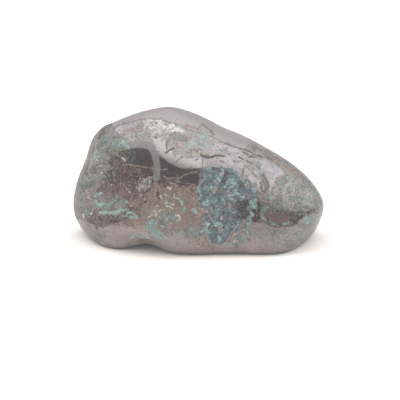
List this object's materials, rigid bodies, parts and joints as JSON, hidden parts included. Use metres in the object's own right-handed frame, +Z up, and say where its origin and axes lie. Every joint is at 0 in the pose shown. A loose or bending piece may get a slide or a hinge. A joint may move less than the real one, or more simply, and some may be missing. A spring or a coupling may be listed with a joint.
{
  "type": "chalcocite specimen",
  "caption": "Tumbled and polished chalcocite stone, dark metallic grey with brown tarnish and blue-green copper crust; a loose mineral specimen that rests on its flat base.",
  "frame": {"origin": "middle of the box around the stone, at the height of the flat base that it rests on", "axes": "+X along the stone's length towards its low end, -Y out of the polished face with the blue-green crust, +Z up"},
  "size_m": [0.0502, 0.0246, 0.0265],
  "materials": {
    "stone": "satin"
  },
  "bodies": {
    "root": {"stone": "stone"}
  },
  "joints": []
}
